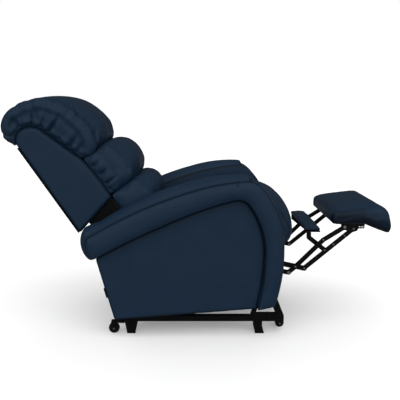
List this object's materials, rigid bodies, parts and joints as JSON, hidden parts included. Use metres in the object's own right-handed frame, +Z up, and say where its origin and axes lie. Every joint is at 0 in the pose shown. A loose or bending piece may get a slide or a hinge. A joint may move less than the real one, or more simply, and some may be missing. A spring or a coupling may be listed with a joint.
{
  "type": "lift chair",
  "caption": "Padded reclining chair with rounded arms and stacked back pillows, a scissor-link leg rest and a powered base that tips the whole seat up and forward.",
  "frame": {"origin": "on the floor, under the middle of the reclined chair's length and width", "axes": "+X forward, the way the sitter faces, along the reclined chair's longest side; +Y to the sitter's left; +Z up"},
  "size_m": [1.7192, 0.804, 1.0453],
  "materials": {
    "navy_leather": "satin",
    "plywood": "raw",
    "webbing": "woven",
    "black_rubber": "matt",
    "black_plastic": "matt",
    "bright_steel": "zinc plated",
    "black_steel": "satin powder coat"
  },
  "bodies": {
    "base": {"base_rails": "black_steel", "base_cross_tubes": "black_steel", "base_uprights": "black_steel", "base_pivot_pins": "bright_steel", "front_feet": "black_steel", "rear_feet": "black_steel", "foot_pads": "black_rubber", "lift_motor_bracket": "black_steel", "wheel_brackets": "black_steel", "wheel_axles": "bright_steel"},
    "rear_wheel_left": {"rear_wheel_left": "black_rubber"},
    "rear_wheel_right": {"rear_wheel_right": "black_rubber"},
    "front_roller_left": {"front_roller_left": "black_rubber"},
    "front_roller_right": {"front_roller_right": "black_rubber"},
    "lift_arms": {"lift_arms": "black_steel"},
    "lift_guide": {"lift_guide_links": "black_steel"},
    "lift_motor": {"lift_motor": "black_plastic"},
    "lift_rod": {"lift_rod": "bright_steel"},
    "chair": {"chair_rails": "black_steel", "chair_cross_tubes": "black_steel", "motor_brackets": "black_steel", "control_box": "black_plastic", "mechanism_plates": "black_steel", "mechanism_pins": "bright_steel", "seat_boards": "plywood", "seat_straps": "webbing", "seat_cushion": "navy_leather", "arm_cover_left": "navy_leather", "arm_cover_right": "navy_leather", "side_panel_left": "navy_leather", "side_panel_right": "navy_leather", "arm_liner_left": "navy_leather", "arm_liner_right": "navy_leather", "rear_panel": "navy_leather", "power_inlet": "black_plastic"},
    "back": {"back_sides": "navy_leather", "back_rails": "plywood", "back_rear_cover": "navy_leather", "back_hinge_plates": "black_steel", "back_hinge_tube": "black_steel", "head_pillow": "navy_leather", "mid_pillow": "navy_leather", "low_pillow": "navy_leather"},
    "back_motor": {"back_motor": "black_plastic"},
    "back_rod": {"back_rod": "bright_steel"},
    "front_links": {"front_links": "black_steel", "front_link_rivets": "bright_steel", "leg_rest_shaft": "black_steel"},
    "upper_links": {"upper_links": "black_steel", "upper_link_rivets": "bright_steel"},
    "lower_links": {"lower_links": "black_steel", "lower_link_rivets": "bright_steel"},
    "rear_links": {"rear_links": "black_steel"},
    "ottoman": {"ottoman_brackets": "black_steel", "ottoman_board": "plywood", "ottoman_pad": "navy_leather"},
    "mid_pad": {"mid_pad_arms": "black_steel", "mid_pad": "navy_leather"},
    "leg_motor": {"leg_motor": "black_plastic"},
    "leg_rod": {"leg_rod": "bright_steel"}
  },
  "joints": [
    {"name": "rear_wheel_left_spin", "type": "hinge", "parent": "base", "child": "rear_wheel_left", "pos_m": [-0.385, 0.299, 0.025], "axis": [0, 1, 0], "continuous": true},
    {"name": "front_roller_left_spin", "type": "hinge", "parent": "base", "child": "front_roller_left", "pos_m": [0.366, 0.22, 0.021], "axis": [0, 1, 0], "continuous": true},
    {"name": "rear_wheel_right_spin", "type": "hinge", "parent": "base", "child": "rear_wheel_right", "pos_m": [-0.385, -0.299, 0.025], "axis": [0, 1, 0], "continuous": true},
    {"name": "front_roller_right_spin", "type": "hinge", "parent": "base", "child": "front_roller_right", "pos_m": [0.366, -0.22, 0.021], "axis": [0, 1, 0], "continuous": true},
    {"name": "lift", "type": "hinge", "parent": "base", "child": "lift_arms", "pos_m": [0.27, 0, 0.1684], "axis": [0, 1, 0], "range_deg": [0, 52]},
    {"name": "lift_tilt", "type": "hinge", "parent": "lift_arms", "child": "chair", "pos_m": [-0.18, 0, 0.1149], "axis": [0, 1, 0], "range_deg": [-20, 0]},
    {"name": "lift_guide", "type": "hinge", "parent": "base", "child": "lift_guide", "pos_m": [0.3093, 0, 0.1685], "axis": [0, 1, 0], "range_deg": [0, 60]},
    {"name": "lift_motor_swing", "type": "hinge", "parent": "base", "child": "lift_motor", "pos_m": [0.322, 0, 0.085], "axis": [0, 1, 0], "range_deg": [0, 46.5]},
    {"name": "lift_rod_slide", "type": "slide", "parent": "lift_motor", "child": "lift_rod", "axis": [-0.9345, 0, 0.3559], "range_m": [0, 0.0807]},
    {"name": "recline", "type": "hinge", "parent": "chair", "child": "back", "pos_m": [-0.38, 0, 0.395], "axis": [0, 1, 0], "range_deg": [0, 18]},
    {"name": "back_motor_swing", "type": "hinge", "parent": "chair", "child": "back_motor", "pos_m": [0.06, -0.11, 0.275], "axis": [0, 1, 0], "range_deg": [-1, 0]},
    {"name": "back_rod_slide", "type": "slide", "parent": "back_motor", "child": "back_rod", "axis": [-0.9999, 0, 0.0122], "range_m": [0, 0.038]},
    {"name": "leg_rest", "type": "hinge", "parent": "chair", "child": "front_links", "pos_m": [0.2001, 0, 0.3431], "axis": [0, 1, 0], "range_deg": [0, 88]},
    {"name": "upper_link_turn", "type": "hinge", "parent": "front_links", "child": "upper_links", "pos_m": [0.4298, 0, 0.2924], "axis": [0, 1, 0], "range_deg": [-95.5, 0]},
    {"name": "lower_link_turn", "type": "hinge", "parent": "front_links", "child": "lower_links", "pos_m": [0.471, 0, 0.2831], "axis": [0, 1, 0], "range_deg": [-95.5, 0]},
    {"name": "ottoman_turn", "type": "hinge", "parent": "upper_links", "child": "ottoman", "pos_m": [0.6456, 0, 0.4743], "axis": [0, 1, 0], "range_deg": [0, 95.5]},
    {"name": "rear_link_turn", "type": "hinge", "parent": "chair", "child": "rear_links", "pos_m": [0.1695, 0, 0.3129], "axis": [0, 1, 0], "range_deg": [0, 88.5]},
    {"name": "mid_pad_turn", "type": "hinge", "parent": "lower_links", "child": "mid_pad", "pos_m": [0.5608, 0, 0.3668], "axis": [0, 1, 0], "range_deg": [0, 74]},
    {"name": "leg_motor_swing", "type": "hinge", "parent": "chair", "child": "leg_motor", "pos_m": [-0.285, 0.11, 0.293], "axis": [0, 1, 0], "range_deg": [-1, 1]},
    {"name": "leg_rod_slide", "type": "slide", "parent": "leg_motor", "child": "leg_rod", "axis": [0.9999, 0, 0.0159], "range_m": [-0.0844, 0]}
  ],
  "couplings": [
    {"joint": "lift_tilt", "follows": "lift", "ratio": -0.38461},
    {"joint": "lift_guide", "follows": "lift", "ratio": 1.1456},
    {"joint": "lift_motor_swing", "follows": "lift", "ratio": 0.8903},
    {"joint": "lift_rod_slide", "follows": "lift", "m_per_rad": 0.087856},
    {"joint": "back_motor_swing", "follows": "recline", "ratio": -0.029146},
    {"joint": "back_rod_slide", "follows": "recline", "m_per_rad": 0.1177},
    {"joint": "upper_link_turn", "follows": "leg_rest", "ratio": -1.0841},
    {"joint": "lower_link_turn", "follows": "leg_rest", "ratio": -1.0841},
    {"joint": "ottoman_turn", "follows": "leg_rest", "ratio": 1.0841},
    {"joint": "rear_link_turn", "follows": "leg_rest", "ratio": 1.0045},
    {"joint": "mid_pad_turn", "follows": "leg_rest", "ratio": 0.83407},
    {"joint": "leg_motor_swing", "follows": "leg_rest", "ratio": 0.002346},
    {"joint": "leg_rod_slide", "follows": "leg_rest", "m_per_rad": -0.054301}
  ]
}
